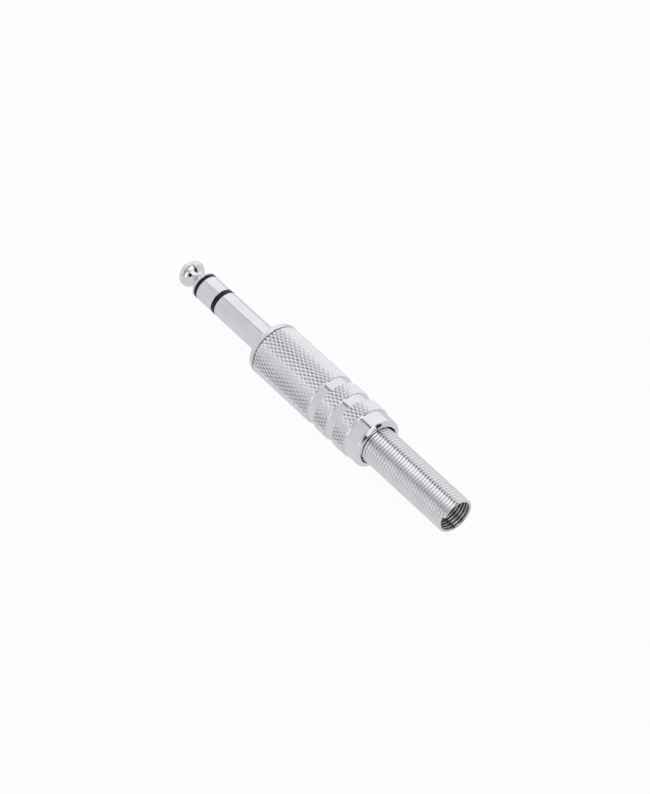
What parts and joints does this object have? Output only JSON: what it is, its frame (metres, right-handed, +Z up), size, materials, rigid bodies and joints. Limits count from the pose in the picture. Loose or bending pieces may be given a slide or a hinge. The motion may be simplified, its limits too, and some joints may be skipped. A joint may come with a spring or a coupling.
{
  "type": "jack plug",
  "caption": "6.35 mm three-contact jack plug with a knurled screw-on shell and a coil-spring cable strain relief.",
  "frame": {"origin": "on the axis at the root of the finger, in the plane of the flange's front face", "axes": "+X along the axis towards the tip; +Z up with the plug lying on the side of its shell and its cable clamp below; +Y to the left of the tip's direction"},
  "size_m": [0.0938, 0.013, 0.013],
  "materials": {
    "nickel": "nickel-plated turned brass, polished",
    "shell_nickel": "nickel-plated brass, diamond knurl and polished bands",
    "spring_wire": "bright nickel-plated spring wire",
    "tinned_brass": "tinned pressed brass",
    "black_plastic": "moulded black plastic",
    "fibre": "vulcanised fibre washer",
    "liner_plastic": "thin translucent plastic tube"
  },
  "bodies": {
    "plug": {"tip_contact": "nickel", "front_insulator": "black_plastic", "ring_contact": "nickel", "rear_insulator": "black_plastic", "sleeve_body": "nickel", "ring_spacer": "fibre", "ring_lug": "tinned_brass", "tip_spacer": "fibre", "tip_lug": "tinned_brass", "cable_clamp": "tinned_brass"},
    "strain_relief": {"strain_spring": "spring_wire"},
    "shell": {"shell": "shell_nickel", "liner": "liner_plastic"}
  },
  "joints": [
    {"name": "shell_travel", "type": "slide", "parent": "plug", "child": "strain_relief", "axis": [-1, 0, 0], "range_m": [0, 0.006]},
    {"name": "shell_turn", "type": "hinge", "parent": "strain_relief", "child": "shell", "pos_m": [-0.0195, 0, 0], "axis": [-1, 0, 0], "range_deg": [0, 2880]}
  ],
  "couplings": [
    {"joint": "shell_travel", "follows": "shell_turn", "m_per_rad": 0.00011937}
  ]
}
